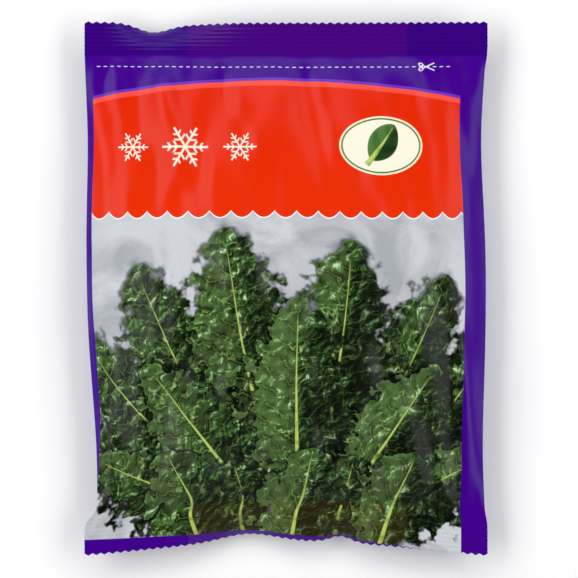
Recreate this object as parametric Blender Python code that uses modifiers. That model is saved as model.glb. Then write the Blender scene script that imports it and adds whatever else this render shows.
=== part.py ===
"""Pillow bag of frozen cut kale, lying on its back with its printed front up and its top towards +Y.

One web of film is wrapped into a tube. Its two long edges are welded into a fin down the middle of the back,
and both ends are welded flat between ribbed jaws and cut off by a zigzag knife. Curled cuts of frozen kale fill it.
The origin is on the surface that the bag lies on, under the middle of the bag. Sizes are in metres.
"""

import math
import random

import bmesh
import bpy
from mathutils import Euler, Vector

# The bag before it is filled, and its walls, thicker than real film so that they hold as solids
FILM_WIDTH = 0.190
BAG_HEIGHT = 0.252
BOTTOM_SEAL, TOP_SEAL = 0.020, 0.016
FILM_WALL = 0.0006
SEAL_WALL = 0.0010

# Ribs pressed across the end seals, and the teeth that the knife leaves
RIB_PITCH = 0.0020
RIB_DEPTH = 0.0004
TOOTH_PITCH = 0.0038
TOOTH_DEPTH = 0.0010

# The filled bag: how high it stands, and how its section rounds over across and along
BELLY_THICKNESS = 0.036
FOLD_HEIGHT = 0.013
SIDE_POWER, SIDE_FULLNESS = 2.2, 0.75
END_POWER = 2.5
BOTTOM_FULLNESS, TOP_FULLNESS = 0.60, 0.90
SIDE_STRETCH = 0.06
THICKEST_AT = -0.4
TAPER_TO_TOP = 0.17
THICKEST_SHARE = 0.955
BACK_FLATNESS, BACK_LANDING = 1.5, 1.5
LUMP_HEIGHT = 0.0009
LUMP_LENGTHS = (0.062, 0.071)

# How far the middle of each end is drawn in by the belly, and where a side flares out to its seal
BOTTOM_DRAW, TOP_DRAW = 0.0063, 0.0004
DRAW_POWER = 1.4
FLARE_FROM, FLARE_TO = 0.1025, 0.1135

# Hollows along the filled sides: the depth, the middle and the reach of each
LEFT_HOLLOWS = ((0.0060, -0.098, 0.062), (0.0009, 0.070, 0.030))
RIGHT_HOLLOWS = ((0.0019, -0.078, 0.045), (0.0024, 0.072, 0.038))

# How the end seals curl back towards the surface: the angle in radians, the middle and the reach of each wave
LEAST_CURL = 0.02
BOTTOM_CURL = 0.12
BOTTOM_WAVES = ((0.95, -0.018, 0.022), (0.80, 0.026, 0.0085))
TOP_WAVES = ((1.15, -0.064, 0.013), (0.50, -0.043, 0.020))

# Fin of the back seam, folded over to the right
FIN_WIDTH = 0.011
FIN_THICKNESS = 0.0005
FIN_BITE = 0.0003

# Pinholes that let trapped air out when bags are stacked
VENT_RADIUS = 0.0007
VENT_COUNT = 3
VENT_SPACING = 0.014
VENT_X, VENT_Y = -0.040, 0.090

# Frozen cuts of leaf, one to a cell and layer of the room inside
CELL_COLUMNS, CELL_ROWS = 6, 7
CELL = 0.0280
CELLS_MIDDLE = 0.004
CELL_GAP = 0.0010
LAYER_HEIGHT = 0.0100
LEAST_ROOM = 0.0075
LEAST_SHARE = 0.85
BLADE_WALL, STALK_WALL = 0.0013, 0.0032
BLADE_ASPECT = 0.85
STALK_SHARE = 0.4
CURL = (1.2, 2.0)
RUFFLE = 0.16
MOST_TILT = 0.25
SEED = 8

# Mesh density
COLUMNS = 25
BELLY_ROWS = 18
BLADE_GRID = (8, 4)

HALF_WIDTH = FILM_WIDTH / 2
HALF_HEIGHT = BAG_HEIGHT / 2

FILM_PURPLE = (0.078, 0.002, 0.279, 1)
LEAF_GREEN = (0.030, 0.087, 0.026, 1)


def waves(at, humps):
    """Sum of smooth humps, each with its height, middle and reach."""
    return sum(height * math.exp(-(((at - middle) / reach) ** 2)) for height, middle, reach in humps)


def seal_at(y):
    """Height of the end seal on y's side."""
    return BOTTOM_SEAL if y < 0 else TOP_SEAL


def seal_line(y):
    """How far the seal on y's side starts from the flat bag's middle."""
    return HALF_HEIGHT - seal_at(y)


def side_insets(y):
    """How far the filled left and right sides draw in from the flat bag's edges: most at the lower left."""
    flare = min(1.0, max(0.0, (FLARE_TO - abs(y)) / (FLARE_TO - FLARE_FROM)))
    flare *= flare * (3 - 2 * flare)
    return waves(y, LEFT_HOLLOWS) * flare, waves(y, RIGHT_HOLLOWS) * flare


def seal_curl(end, x):
    """The angle, in radians, through which an end seal curls back towards the surface at x."""
    if end < 0:
        return LEAST_CURL + BOTTOM_CURL * (1 - (x / HALF_WIDTH) ** 2) + waves(x, BOTTOM_WAVES)
    return LEAST_CURL + waves(x, TOP_WAVES)


def rib_offset(past, seal):
    """Height of the pressed ribs at past metres beyond the seal line, level at both ends of the ribbed band."""
    wave = 1 - abs(4 * (past / RIB_PITCH % 1) - 2)
    fade = min(1.0, past / RIB_PITCH, (seal - past) / RIB_PITCH - 1)
    return RIB_DEPTH / 2 * wave * max(0.0, fade)


def fill_share(x, y):
    """Share of the full thickness at (x, y) of the flat bag: thickest below the middle, nothing at the edges."""
    along = y / seal_line(y)
    across = x / HALF_WIDTH
    rounded = max(0.0, 1 - abs(along) ** END_POWER) ** (BOTTOM_FULLNESS if y < 0 else TOP_FULLNESS)
    tapered = rounded * (1 - TAPER_TO_TOP * (along - THICKEST_AT)) / THICKEST_SHARE
    return tapered * max(0.0, 1 - abs(across) ** SIDE_POWER) ** SIDE_FULLNESS


def plan_point(x, y, inset):
    """Where (x, y) of the flat bag lies in plan once the bag is filled."""
    left, right = side_insets(y)
    middle = (left - right) / 2
    half = HALF_WIDTH - (left + right) / 2 - 2 * inset
    across = x / HALF_WIDTH
    filled = min(1.0, max(0.0, (seal_line(y) - abs(y)) / seal_at(y)))
    across *= 1 + SIDE_STRETCH * filled * (1 - across * across)
    draw = (BOTTOM_DRAW if y < 0 else TOP_DRAW) + 2 * inset
    along = min(1.0, abs(y) / seal_line(y))
    middle_share = (1 - (x / HALF_WIDTH) ** 2) ** DRAW_POWER if inset == 0 else 1
    drawn = draw * along * along * middle_share
    return middle + half * across, y - math.copysign(drawn, y)


def film_point(x, y, face, inset=0.0, out=0.0):
    """Where (x, y) of the flat front or back panel lies on the filled bag.

    face is 1 for the front and -1 for the back. inset is 0 on the outside, and the wall on the inside.
    out moves the point that far off its outer face.
    """
    place_x, place_y = plan_point(x, y, inset)
    past = abs(y) - seal_line(y)
    half_seal = 0 if inset else SEAL_WALL / 2
    if past <= 0:
        share = fill_share(x, y)
        lump = math.sin(math.tau * x / LUMP_LENGTHS[0] + 1) * math.sin(math.tau * y / LUMP_LENGTHS[1])
        if face > 0:
            start = FOLD_HEIGHT + half_seal
            height = start + (BELLY_THICKNESS - inset - start) * share + LUMP_HEIGHT * share * lump
        else:
            rest = FIN_THICKNESS + inset
            landing = (1 - min(1.0, BACK_FLATNESS * share)) ** BACK_LANDING
            height = rest + (FOLD_HEIGHT - half_seal - rest) * landing
        return Vector((place_x, place_y, height + face * out))
    end = math.copysign(1, y)
    seal = seal_at(y)
    curl = seal_curl(end, x)
    angle = curl * past / seal
    radius = seal / curl
    off = face * (half_seal + out) + rib_offset(past, seal)
    line_y = plan_point(x, end * seal_line(y), inset)[1]
    place_y = line_y + end * (radius * math.sin(angle) + math.sin(angle) * off)
    return Vector((place_x, place_y, FOLD_HEIGHT - radius * (1 - math.cos(angle)) + math.cos(angle) * off))


def belly_heights():
    """Rows of the belly from seal line to seal line, closer together near the seals."""
    steps = [2 * row / BELLY_ROWS - 1 for row in range(BELLY_ROWS + 1)]
    return [seal_line(t) * (0.4 * t + 0.6 * math.sin(t * math.pi / 2)) for t in steps]


def bag_heights():
    """Rows of the whole bag from end to end: two for each rib, and the belly's."""
    step = RIB_PITCH / 2
    rows = belly_heights()
    for end in (-1, 1):
        count = round(seal_at(end) / step) - 2
        rows += [end * (seal_line(end) + step * row) for row in range(1, count + 1)]
        rows.append(end * HALF_HEIGHT)
    return sorted(rows)


def flat_sheet(left, right, columns, heights):
    """A flat grid from left to right, with rows at these heights."""
    bm = bmesh.new()
    rows = len(heights) - 1
    bmesh.ops.create_grid(bm, x_segments=columns, y_segments=rows, size=1)
    for vert in bm.verts:
        row = round((vert.co.y + 1) / 2 * rows)
        vert.co = (left + (right - left) * (vert.co.x + 1) / 2, heights[row], 0)
    return bm


def cut_teeth(bm):
    """Splits the two end edges of a flat sheet and draws every other point back, as the zigzag knife does."""
    ends = [e for e in bm.edges if all(abs(v.co.y) > HALF_HEIGHT - TOOTH_DEPTH for v in e.verts)]
    teeth = round(FILM_WIDTH / COLUMNS / TOOTH_PITCH)
    bmesh.ops.subdivide_edges(bm, edges=ends, cuts=2 * teeth - 1)
    for vert in bm.verts:
        if abs(vert.co.y) > HALF_HEIGHT - TOOTH_DEPTH:
            share = abs(2 * ((vert.co.x + HALF_WIDTH) / TOOTH_PITCH % 1) - 1)
            vert.co.y -= math.copysign(TOOTH_DEPTH * share, vert.co.y)


def object_of(name, bm, collection, material=None):
    """Wraps a bmesh as an object. A helper has no material and is drawn as wires."""
    bmesh.ops.recalc_face_normals(bm, faces=bm.faces)
    if bm.calc_volume(signed=True) < 0:
        bmesh.ops.reverse_faces(bm, faces=bm.faces)
    mesh = bpy.data.meshes.new(name)
    bm.to_mesh(mesh)
    bm.free()
    made = bpy.data.objects.new(name, mesh)
    collection.objects.link(made)
    if material:
        mesh.materials.append(material)
    else:
        made.hide_render = True
        made.display_type = "WIRE"
    return made


def two_faced(bm, place):
    """Doubles a flat sheet into a closed body, and places each point by place(x, y, face)."""
    made = bmesh.ops.extrude_face_region(bm, geom=bm.faces[:])["geom"]
    front = {item for item in made if isinstance(item, bmesh.types.BMVert)}
    for vert in bm.verts:
        vert.co = place(vert.co.x, vert.co.y, 1 if vert in front else -1)


def pouch(collection, material):
    """The outside of the bag: belly, ribbed end seals and zigzag ends."""
    bm = flat_sheet(-HALF_WIDTH, HALF_WIDTH, COLUMNS, bag_heights())
    cut_teeth(bm)
    two_faced(bm, film_point)
    return object_of("bag_film", bm, collection, material)


def cavity(collection):
    """The room inside the film, which closes to an edge along the sides and the seal lines."""
    bm = flat_sheet(-HALF_WIDTH, HALF_WIDTH, COLUMNS, belly_heights())
    two_faced(bm, lambda x, y, face: film_point(x, y, face, inset=FILM_WALL))
    bmesh.ops.remove_doubles(bm, verts=bm.verts, dist=1e-6)
    return object_of("room_inside", bm, collection)


def fin(collection):
    """The welded fin, folded flat against the back from end to end, with its upper face sunk into the film."""
    heights = bag_heights()
    heights[0] += 1.5 * TOOTH_DEPTH
    heights[-1] -= 1.5 * TOOTH_DEPTH
    bm = flat_sheet(0, FIN_WIDTH, 2, heights)
    two_faced(bm, lambda x, y, face: film_point(x, y, -1, out=FIN_THICKNESS if face < 0 else -FIN_BITE))
    return object_of("fin_strip", bm, collection)


def vents(collection):
    """Pins that pierce the back panel and stop inside the bag."""
    pins = []
    for number in range(VENT_COUNT):
        x = VENT_X + VENT_SPACING * number
        wall = film_point(x, VENT_Y, -1)
        bpy.ops.mesh.primitive_cylinder_add(
            vertices=12, radius=VENT_RADIUS, depth=4 * FILM_WALL, location=wall + Vector((0, 0, FILM_WALL / 2))
        )
        pin = bpy.context.object
        pin.name = f"vent_pin_{number + 1}"
        pin.hide_render = True
        pin.display_type = "WIRE"
        for other in pin.users_collection:
            other.objects.unlink(pin)
        collection.objects.link(pin)
        pins.append(pin)
    return pins


def boolean(target, other, operation):
    modifier = target.modifiers.new(f"{operation.lower()}_{other.name}", "BOOLEAN")
    modifier.operation = operation
    modifier.object = other


def room_at(x, y):
    """Lowest and highest point of the room inside at (x, y) in plan, on the safe side."""
    left, right = side_insets(y)
    flat_x = (x - (left - right) / 2) / (HALF_WIDTH - (left + right) / 2 - 2 * FILM_WALL) * HALF_WIDTH
    draw = (BOTTOM_DRAW if y < 0 else TOP_DRAW) + 2 * FILM_WALL
    flat_y = y / (1 - draw / seal_line(y))
    if abs(flat_x) >= HALF_WIDTH or abs(flat_y) >= seal_line(y):
        return FOLD_HEIGHT, FOLD_HEIGHT
    back = film_point(flat_x, flat_y, -1, inset=FILM_WALL)
    front = film_point(flat_x, flat_y, 1, inset=FILM_WALL)
    return back.z, front.z


def cells():
    """Boxes that stack in the room inside: (centre, size) of each, from the lower left."""
    for row in range(CELL_ROWS):
        for column in range(CELL_COLUMNS):
            x = (column - (CELL_COLUMNS - 1) / 2) * CELL
            y = CELLS_MIDDLE + (row - (CELL_ROWS - 1) / 2) * CELL
            reach = (CELL - CELL_GAP) / 2
            rooms = [room_at(x + i * reach, y + j * reach) for i in (-1, 0, 1) for j in (-1, 0, 1)]
            low = max(room[0] for room in rooms) + CELL_GAP
            high = min(room[1] for room in rooms) - CELL_GAP
            if high - low < LEAST_ROOM:
                continue
            layers = max(1, int((high - low) / LAYER_HEIGHT))
            height = (high - low) / layers
            for layer in range(layers):
                centre = Vector((x, y, low + (layer + 0.5) * height))
                yield centre, Vector((2 * reach, 2 * reach, height - CELL_GAP))


def leaf_sheet(rng):
    """A knife-cut piece of leaf, curled round the line of its stalk, with its free edges ruffled."""
    bm = bmesh.new()
    bmesh.ops.create_grid(bm, x_segments=BLADE_GRID[0], y_segments=BLADE_GRID[1], size=1)
    bmesh.ops.triangulate(bm, faces=bm.faces)
    curl = rng.uniform(*CURL)
    ripples = rng.uniform(1.2, 1.7)
    phases = [rng.uniform(0, math.tau) for _ in range(3)]
    taper = rng.uniform(0.10, 0.35)
    for vert in bm.verts:
        u, v = vert.co.x, vert.co.y
        ruffle = abs(u) ** 1.5 * math.sin(math.pi * ripples * v + phases[0] + math.copysign(phases[1], u))
        torn = 1 - taper * u**4 * (1 + 0.5 * math.sin(3 * v + phases[2]))
        radius = 1 / curl + RUFFLE * ruffle
        vert.co = (radius * math.sin(u * curl), BLADE_ASPECT * v * torn, -radius * math.cos(u * curl))
    return bm


def kale_cut(number, centre, size, rng, collection, material):
    """One frozen cut, turned at random and fitted to the cell that it lies in. Some cuts hold a length of stalk."""
    bm = leaf_sheet(rng)
    points = [vert.co for vert in bm.verts]
    wall = STALK_WALL if rng.random() < STALK_SHARE else BLADE_WALL
    tilt = [rng.uniform(-MOST_TILT, MOST_TILT) for _ in range(2)]
    turn = Euler((tilt[0] + math.pi * rng.randrange(2), tilt[1], rng.uniform(0, math.tau)), "ZYX").to_matrix()
    bmesh.ops.rotate(bm, verts=bm.verts, cent=(0, 0, 0), matrix=turn)
    place = centre.copy()
    for axis in range(3):
        low = min(point[axis] for point in points)
        high = max(point[axis] for point in points)
        room = size[axis] * rng.uniform(LEAST_SHARE, 1) - wall
        place[axis] += (size[axis] - wall - room) * rng.uniform(-0.5, 0.5)
        for point in points:
            point[axis] = room * ((point[axis] - low) / (high - low) - 0.5)
    cut = object_of(f"kale_cut_{number:02d}", bm, collection, material)
    cut.location = place
    cut.data.shade_smooth()
    stalk = cut.vertex_groups.new(name="stalk")
    across = BLADE_GRID[0] + 1
    stalk.add([index for index in range(len(cut.data.vertices)) if index % across == across // 2], 1.0, "REPLACE")
    solid = cut.modifiers.new("wall", "SOLIDIFY")
    solid.thickness = wall
    solid.offset = 0
    solid.vertex_group = stalk.name
    solid.thickness_vertex_group = BLADE_WALL / wall


def finish_of(name, colour, roughness, coat):
    """A plain material for one kind of piece."""
    material = bpy.data.materials.new(name)
    material.use_nodes = True
    shader = material.node_tree.nodes["Principled BSDF"]
    shader.inputs["Base Color"].default_value = colour
    shader.inputs["Roughness"].default_value = roughness
    shader.inputs["Metallic"].default_value = 0
    shader.inputs["Coat Weight"].default_value = coat
    material.diffuse_color = colour
    return material


def collection_of(name):
    made = bpy.data.collections.new(name)
    bpy.context.scene.collection.children.link(made)
    return made


def main():
    for old in list(bpy.data.objects):
        bpy.data.objects.remove(old)
    bag = collection_of("frozen_kale_bag")
    helpers = collection_of("cutters")
    film = finish_of("printed_film", FILM_PURPLE, 0.28, 0.5)
    leaf = finish_of("frozen_leaf", LEAF_GREEN, 0.55, 0.0)

    pack = pouch(bag, film)
    boolean(pack, fin(helpers), "UNION")
    boolean(pack, cavity(helpers), "DIFFERENCE")
    for pin in vents(helpers):
        boolean(pack, pin, "DIFFERENCE")

    rng = random.Random(SEED)
    for number, (centre, size) in enumerate(cells(), start=1):
        kale_cut(number, centre, size, rng, bag, leaf)


main()
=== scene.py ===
"""A sealed pillow bag of frozen cut kale: its printed, creased and welded film, and its contents."""

import math

import bmesh
import bpy
import numpy as np
from mathutils import Matrix, Vector


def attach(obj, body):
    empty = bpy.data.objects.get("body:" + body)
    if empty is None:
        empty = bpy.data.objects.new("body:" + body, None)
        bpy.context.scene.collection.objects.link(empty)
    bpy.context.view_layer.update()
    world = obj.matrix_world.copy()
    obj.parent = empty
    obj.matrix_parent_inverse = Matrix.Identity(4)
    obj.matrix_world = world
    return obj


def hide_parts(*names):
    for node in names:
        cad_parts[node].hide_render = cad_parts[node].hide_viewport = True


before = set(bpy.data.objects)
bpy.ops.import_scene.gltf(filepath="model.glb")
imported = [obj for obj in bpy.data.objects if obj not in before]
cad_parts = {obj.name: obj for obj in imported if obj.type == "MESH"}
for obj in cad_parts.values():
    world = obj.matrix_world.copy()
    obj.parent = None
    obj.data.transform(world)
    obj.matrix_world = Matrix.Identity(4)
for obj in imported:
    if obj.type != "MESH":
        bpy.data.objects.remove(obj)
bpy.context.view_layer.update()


# The bag's film is one web of printed polyethylene, folded into a tube and welded across both ends.
# Blown up by its contents it can't stretch, so it buckles into soft folds towards its corners and ends.
# A cloth simulation finds those folds, from the filled bag's smooth shape and the web's flat lengths.

FILM_WIDTH = 0.190
BAG_HEIGHT = 0.252
BOTTOM_SEAL, TOP_SEAL = 0.020, 0.016
SEAL_WALL = 0.0005
BELLY_THICKNESS = 0.036
FOLD_HEIGHT = 0.013
FIN_THICKNESS = 0.0005
HALF_WIDTH = FILM_WIDTH / 2
HALF_HEIGHT = BAG_HEIGHT / 2
BOTTOM_LINE, TOP_LINE = HALF_HEIGHT - BOTTOM_SEAL, HALF_HEIGHT - TOP_SEAL

# Powers and shares that give the filled bag its smooth shape
SIDE_POWER, SIDE_FULLNESS = 2.2, 0.75
END_POWER = 2.5
BOTTOM_FULLNESS, TOP_FULLNESS = 0.60, 0.90
SIDE_STRETCH = 0.06
THICKEST_AT = -0.4
TAPER_TO_TOP = 0.17
THICKEST_SHARE = 0.955
BACK_FLATNESS, BACK_LANDING = 1.5, 1.5
BOTTOM_DRAW, TOP_DRAW = 0.0063, 0.0004
DRAW_POWER = 1.4
FLARE_FROM, FLARE_TO = 0.1025, 0.1135
LEAST_CURL, BOTTOM_CURL = 0.02, 0.12

# Size, middle and reach of each hollow in the sides and of each curl in the welds
LEFT_HOLLOWS = ((0.0060, -0.098, 0.062), (0.0009, 0.070, 0.030))
RIGHT_HOLLOWS = ((0.0019, -0.078, 0.045), (0.0024, 0.072, 0.038))
BOTTOM_WAVES = ((0.95, -0.018, 0.022), (0.80, 0.026, 0.0085))
TOP_WAVES = ((1.15, -0.064, 0.013), (0.50, -0.043, 0.020))

# The simulated web is coarser than the film that is shown, and ten times its size, which suits the solver
SIM_COLUMNS, SIM_BELLY_ROWS, SIM_SEAL_ROWS = 80, 92, 4
SIM_SCALE = 10
SIM_FRAMES, QUICK_FRAMES = 24, 3
SLACK = 0.92
RUMPLE_HEIGHT, RUMPLE_LENGTH, RUMPLE_STRETCH = 0.0030, 0.022, 2.5
RUMPLE_WAVES, RUMPLE_TURN, BACK_RUMPLE = 12, 1.1, 0.4
WELD_EASE, SIDE_EASE = 0.012, 0.008
FLAT_GAP, ON_LINE = 0.0001, 1e-4
SIDE_PIN = 0.3
SOFTENING, SOFTENED_FROM = 6, 0.025


def waves(at, humps):
    """Sum of smooth humps, each with its height, middle and reach."""
    return sum(height * np.exp(-(((at - middle) / reach) ** 2)) for height, middle, reach in humps)


def filled_point(x, y, face):
    """Smooth filled shape of the flat bag's points (x, y), on its front (face 1) or back (face -1)."""
    end = np.where(y < 0, -1.0, 1.0)
    seal = np.where(y < 0, BOTTOM_SEAL, TOP_SEAL)
    line = HALF_HEIGHT - seal
    across, along = x / HALF_WIDTH, np.clip(y / line, -1, 1)
    past = np.maximum(np.abs(y) - line, 0)
    flare = np.clip((FLARE_TO - np.abs(y)) / (FLARE_TO - FLARE_FROM), 0, 1)
    flare = flare * flare * (3 - 2 * flare)
    left, right = waves(y, LEFT_HOLLOWS) * flare, waves(y, RIGHT_HOLLOWS) * flare
    off_seal = np.clip((line - np.abs(y)) / seal, 0, 1)
    spread = across * (1 + SIDE_STRETCH * off_seal * (1 - across**2))
    place_x = (left - right) / 2 + (HALF_WIDTH - (left + right) / 2) * spread

    fullness = np.where(y < 0, BOTTOM_FULLNESS, TOP_FULLNESS)
    share = (1 - np.abs(along) ** END_POWER) ** fullness * (1 - TAPER_TO_TOP * (along - THICKEST_AT))
    share = share / THICKEST_SHARE * (1 - np.abs(across) ** SIDE_POWER) ** SIDE_FULLNESS
    start = FOLD_HEIGHT + SEAL_WALL / 2
    front = start + (BELLY_THICKNESS - start) * share
    landing = (1 - np.minimum(1, BACK_FLATNESS * share)) ** BACK_LANDING
    back = FIN_THICKNESS + (FOLD_HEIGHT - SEAL_WALL / 2 - FIN_THICKNESS) * landing

    bottom_curl = BOTTOM_CURL * (1 - across**2) + waves(x, BOTTOM_WAVES)
    curl = LEAST_CURL + np.where(y < 0, bottom_curl, waves(x, TOP_WAVES))
    angle = curl * past / seal
    radius = seal / curl
    off = face * SEAL_WALL / 2
    drawn = np.where(y < 0, BOTTOM_DRAW, TOP_DRAW) * along**2 * (1 - across**2) ** DRAW_POWER
    belly = np.where(face > 0, front, back)
    in_seal = past > 0
    place_y = np.where(in_seal, end * (line + (radius + off) * np.sin(angle)), y) - end * drawn
    place_z = np.where(in_seal, FOLD_HEIGHT - radius * (1 - np.cos(angle)) + off * np.cos(angle), belly)
    return np.stack([place_x, place_y, place_z], -1)


def rumple(x, y, seed):
    """Smooth noise, longer along the bag than across it, from a few random waves."""
    draw = np.random.default_rng(seed)
    total = np.zeros_like(x)
    for octave in (1, 2):
        for _ in range(RUMPLE_WAVES):
            turn, phase = draw.uniform(-RUMPLE_TURN, RUMPLE_TURN), draw.uniform(0, math.tau)
            pitch = RUMPLE_LENGTH * draw.uniform(0.8, 1.6) / octave
            run = x * math.cos(turn) + y * math.sin(turn) / RUMPLE_STRETCH
            total += np.sin(math.tau * run / pitch + phase) / octave
    return total / (RUMPLE_WAVES / 2)


def grid_faces(rows, columns, first=0, flipped=False):
    """The quads of a grid whose points are numbered row by row from first."""
    index = first + np.arange(rows * columns).reshape(rows, columns)
    quads = np.stack([index[:-1, :-1], index[:-1, 1:], index[1:, 1:], index[1:, :-1]], -1).reshape(-1, 4)
    return quads[:, ::-1] if flipped else quads


def simulated_film():
    """Rows, columns and places of the creased web's points: (flat y, flat x, places[face][row][column])."""
    lower = np.linspace(-HALF_HEIGHT, -BOTTOM_LINE, SIM_SEAL_ROWS + 1)[:-1]
    belly = np.linspace(-BOTTOM_LINE, TOP_LINE, SIM_BELLY_ROWS + 1)
    upper = np.linspace(TOP_LINE, HALF_HEIGHT, SIM_SEAL_ROWS + 1)[1:]
    flat_y = np.concatenate([lower, belly, upper])
    flat_x = np.linspace(-HALF_WIDTH, HALF_WIDTH, SIM_COLUMNS + 1)
    x, y = np.meshgrid(flat_x, flat_y)
    rows, columns = x.shape
    off_welds = np.minimum(y + BOTTOM_LINE, TOP_LINE - y)
    loose = np.clip(off_welds / WELD_EASE, 0, 1) * np.clip((HALF_WIDTH - np.abs(x)) / SIDE_EASE, 0, 1)
    places, flats = [], []
    for face, share in ((1, 1), (-1, BACK_RUMPLE)):
        place = filled_point(x, y, face)
        place[..., 2] = FOLD_HEIGHT + (place[..., 2] - FOLD_HEIGHT) * SLACK
        place[..., 2] += RUMPLE_HEIGHT * share * rumple(x, y, face + 2) * loose
        places.append(place)
        flats.append(np.stack([x, y, np.full_like(x, face * FLAT_GAP)], -1))
    faces = np.concatenate([grid_faces(rows, columns), grid_faces(rows, columns, rows * columns, True)])

    # The side folds are one line of points shared by both faces
    shared = np.arange(2 * rows * columns).reshape(2, rows, columns)
    shared[1, :, 0], shared[1, :, -1] = shared[0, :, 0], shared[0, :, -1]
    used, number = np.unique(shared, return_inverse=True)
    number = number.reshape(-1)
    start = np.stack(places).reshape(-1, 3)[used]
    flat = np.stack(flats).reshape(-1, 3)[used]

    mesh = bpy.data.meshes.new("web")
    mesh.from_pydata((start * SIM_SCALE).tolist(), [], number[faces].tolist())
    web = bpy.data.objects.new("web", mesh)
    bpy.context.scene.collection.objects.link(web)
    web.shape_key_add(name="filled")
    cut = web.shape_key_add(name="flat")
    cut.data.foreach_set("co", (flat * SIM_SCALE).ravel())
    pins = web.vertex_groups.new(name="pins")
    welded = (flat[:, 1] < ON_LINE - BOTTOM_LINE) | (flat[:, 1] > TOP_LINE - ON_LINE)
    side = ~welded & (np.abs(flat[:, 0]) > HALF_WIDTH - ON_LINE)
    pins.add(np.nonzero(welded)[0].tolist(), 1.0, "REPLACE")
    pins.add(np.nonzero(side)[0].tolist(), SIDE_PIN, "REPLACE")

    cloth = web.modifiers.new("film", "CLOTH")
    settings = cloth.settings
    settings.quality = 8
    settings.mass = 0.05
    settings.tension_stiffness = settings.compression_stiffness = 120
    settings.shear_stiffness = 60
    settings.tension_damping = settings.compression_damping = settings.shear_damping = 10
    settings.bending_stiffness = 0.5
    settings.vertex_group_mass = pins.name
    settings.rest_shape_key = cut
    settings.use_pressure = True
    settings.uniform_pressure_force = 0.8
    settings.effector_weights.gravity = 0
    cloth.collision_settings.use_collision = False
    scene = bpy.context.scene
    for step in range(1, SIM_FRAMES + 1):
        scene.frame_set(step)
    evaluated = web.evaluated_get(bpy.context.evaluated_depsgraph_get())
    settled = np.empty(len(used) * 3)
    evaluated.data.vertices.foreach_get("co", settled)
    scene.frame_set(1)
    bpy.data.objects.remove(web)
    bpy.data.meshes.remove(mesh)
    web_places = (settled.reshape(-1, 3) / SIM_SCALE)[number].reshape(2, rows, columns, 3)

    # Film of this weight doesn't hold the finest folds away from its welds
    inner = slice(SIM_SEAL_ROWS + 1, rows - SIM_SEAL_ROWS - 1)
    ease = 0.5 * np.clip(off_welds[inner, 0] / SOFTENED_FROM, 0.15, 1)[None, :, None, None]
    for _ in range(SOFTENING):
        above = web_places[:, inner.start + 1 : inner.stop + 1]
        below = web_places[:, inner.start - 1 : inner.stop - 1]
        here = web_places[:, inner]
        around = (above[:, :, 1:-1] + below[:, :, 1:-1] + here[:, :, 2:] + here[:, :, :-2]) / 4
        here[:, :, 1:-1] += ease * (around - here[:, :, 1:-1])
    height = web_places[..., 2] - FOLD_HEIGHT
    raised = height > 0
    height[raised] *= min(1, (BELLY_THICKNESS - FOLD_HEIGHT) / height.max())
    web_places[..., 2] = FOLD_HEIGHT + height
    return flat_y, flat_x, web_places


# The film's polyethylene is blown smooth and printed on its inner side. The print bears no text.
# Its inks are a purple ground, an orange-red header, and a picture of kale leaves on pale stone.
# All of it is drawn in flat millimetres: u runs round the tube from the middle of the front, v up the bag.

HEADER = (-91, 82.5, 36, 98)
ARCH_MIDDLE, ARCH_HALF_SPAN, ARCH_FALL = -4.0, 88.0, 9
SCALLOP_HALF, SCALLOP_DEPTH = 4.8, 3.2
PICTURE = (-91, 82.5, -118.5, 36)
INK_EDGE = 0.12
LEAF_SIZES = ("Turn", "Length", "Half width", "Bend", "Exposure")
BLADE_START = 0.13
RIB_AT_FOOT, RIB_AT_TIP = 1.3, 0.12
VEIN_SLANT, VEIN_SPACING = 0.85, 4.5
LIGHT_HEADING = math.radians(127)

# Half widths of a snowflake's arms and barbs, and root and reach of its barbs, as shares of its radius
FLAKE_ARM, FLAKE_BARB = 0.05, 0.042
FLAKE_BARBS = ((0.36, 0.26), (0.64, 0.19))


def hex_colour(code):
    """Linear colour of an sRGB hex code."""
    channels = [int(code[place : place + 2], 16) / 255 for place in (0, 2, 4)]
    return (*(c / 12.92 if c <= 0.04045 else ((c + 0.055) / 1.055) ** 2.4 for c in channels), 1.0)


def add(tree, kind, *values, named=(), **settings):
    """Adds a node, links or sets its inputs by order or name, and gives its first output, if it has one."""
    made = tree.nodes.new(kind)
    for setting, value in settings.items():
        setattr(made, setting, value)
    for place, value in [*enumerate(values), *dict(named).items()]:
        if isinstance(value, bpy.types.NodeSocket):
            tree.links.new(value, made.inputs[place])
        elif value is not None:
            made.inputs[place].default_value = value
    return made.outputs[0] if made.outputs else made


def interface(name, kind, inputs, outputs):
    """An empty node tree with named sockets, and the sockets that hand its inputs on."""
    tree = bpy.data.node_groups.new(name, kind)
    for way, sockets in (("INPUT", inputs), ("OUTPUT", outputs)):
        for socket, socket_type in sockets.items():
            tree.interface.new_socket(socket, in_out=way, socket_type=f"NodeSocket{socket_type}")
    return tree, tree.nodes.new("NodeGroupInput").outputs


def panel_group():
    """Mask of an upright rectangle."""
    inputs = {"Place": "Vector"} | dict.fromkeys(("Left", "Right", "Bottom", "Top"), "Float")
    tree, given = interface("panel", "ShaderNodeTree", inputs, {"Mask": "Float"})
    u, v, _ = add(tree, "ShaderNodeSeparateXYZ", given["Place"]).node.outputs
    depth = None
    for above, below in ((u, given["Left"]), (given["Right"], u), (v, given["Bottom"]), (given["Top"], v)):
        inside = add(tree, "ShaderNodeMath", above, below, operation="SUBTRACT")
        depth = add(tree, "ShaderNodeMath", depth, inside, operation="MINIMUM") if depth else inside
    mask = add(tree, "ShaderNodeMapRange", depth, -INK_EDGE, INK_EDGE)
    add(tree, "NodeGroupOutput", mask)
    return tree


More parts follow.
